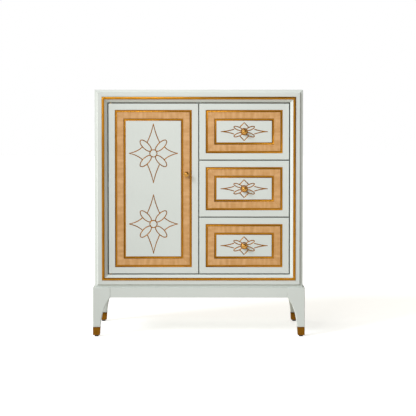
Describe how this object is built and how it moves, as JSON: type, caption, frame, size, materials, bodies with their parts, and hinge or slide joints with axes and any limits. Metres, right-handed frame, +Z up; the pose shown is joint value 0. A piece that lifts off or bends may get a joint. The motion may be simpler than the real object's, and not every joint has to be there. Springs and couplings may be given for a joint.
{
  "type": "side cabinet",
  "caption": "Painted side cabinet with a hinged door beside stacked drawers in a moulded gilt frame, standing on curved square legs with brass foot caps.",
  "frame": {"origin": "on the floor, under the middle of the cabinet's box, knobs included", "axes": "+Z up, the front with the door and drawers looks towards -Y, +X to the right of someone who faces the front"},
  "size_m": [0.8, 0.416, 0.932],
  "materials": {
    "painted_wood": "satin sprayed lacquer, pale grey green",
    "gold_paint": "gold paint on the beads, grooves and stars",
    "veneer": "satin lacquered honey veneer",
    "gilt_brass": "polished and lacquered",
    "foot_brass": "satin, slightly darkened",
    "hinge_brass": "brushed",
    "glide_plastic": "moulded black",
    "catch_plastic": "moulded pale grey",
    "steel": "zinc plated",
    "box_wood": "clear matt lacquer"
  },
  "bodies": {
    "carcass": {"leg_front_left": "painted_wood", "leg_front_right": "painted_wood", "leg_back_left": "painted_wood", "leg_back_right": "painted_wood", "ferrule_front_left": "foot_brass", "ferrule_front_right": "foot_brass", "ferrule_back_left": "foot_brass", "ferrule_back_right": "foot_brass", "glide_front_left": "glide_plastic", "glide_front_right": "glide_plastic", "glide_back_left": "glide_plastic", "glide_back_right": "glide_plastic", "apron_front": "painted_wood", "apron_back": "painted_wood", "apron_left": "painted_wood", "apron_right": "painted_wood", "side_left": "painted_wood", "side_right": "painted_wood", "top_panel": "painted_wood", "bottom_panel": "painted_wood", "divider": "painted_wood", "back_panel": "box_wood", "shelf": "painted_wood", "magnetic_catch": "catch_plastic", "moulding_bottom": "painted_wood", "moulding_right": "painted_wood", "moulding_top": "painted_wood", "moulding_left": "painted_wood", "runner_bottom_left": "box_wood", "runner_bottom_right": "box_wood", "runner_middle_left": "box_wood", "runner_middle_right": "box_wood", "runner_top_left": "box_wood", "runner_top_right": "box_wood"},
    "door": {"door_leaf": "painted_wood", "door_veneer_band": "veneer", "door_knob": "gilt_brass", "door_pivot_top": "hinge_brass", "door_pivot_bottom": "hinge_brass"},
    "drawer_top": {"drawer_top_front": "painted_wood", "drawer_top_veneer_band": "veneer", "drawer_top_knob": "gilt_brass", "drawer_top_side_right": "box_wood", "drawer_top_side_left": "box_wood", "drawer_top_back": "box_wood", "drawer_top_bottom": "box_wood"},
    "drawer_middle": {"drawer_middle_front": "painted_wood", "drawer_middle_veneer_band": "veneer", "drawer_middle_knob": "gilt_brass", "drawer_middle_side_right": "box_wood", "drawer_middle_side_left": "box_wood", "drawer_middle_back": "box_wood", "drawer_middle_bottom": "box_wood"},
    "drawer_bottom": {"drawer_bottom_front": "painted_wood", "drawer_bottom_veneer_band": "veneer", "drawer_bottom_knob": "gilt_brass", "drawer_bottom_side_right": "box_wood", "drawer_bottom_side_left": "box_wood", "drawer_bottom_back": "box_wood", "drawer_bottom_bottom": "box_wood"}
  },
  "joints": [
    {"name": "door_swing", "type": "hinge", "parent": "carcass", "child": "door", "pos_m": [-0.332, -0.175, 0.559], "axis": [0, 0, -1], "range_deg": [0, 105]},
    {"name": "drawer_top_slide", "type": "slide", "parent": "carcass", "child": "drawer_top", "axis": [0, -1, 0], "range_m": [0, 0.28]},
    {"name": "drawer_middle_slide", "type": "slide", "parent": "carcass", "child": "drawer_middle", "axis": [0, -1, 0], "range_m": [0, 0.28]},
    {"name": "drawer_bottom_slide", "type": "slide", "parent": "carcass", "child": "drawer_bottom", "axis": [0, -1, 0], "range_m": [0, 0.28]}
  ]
}
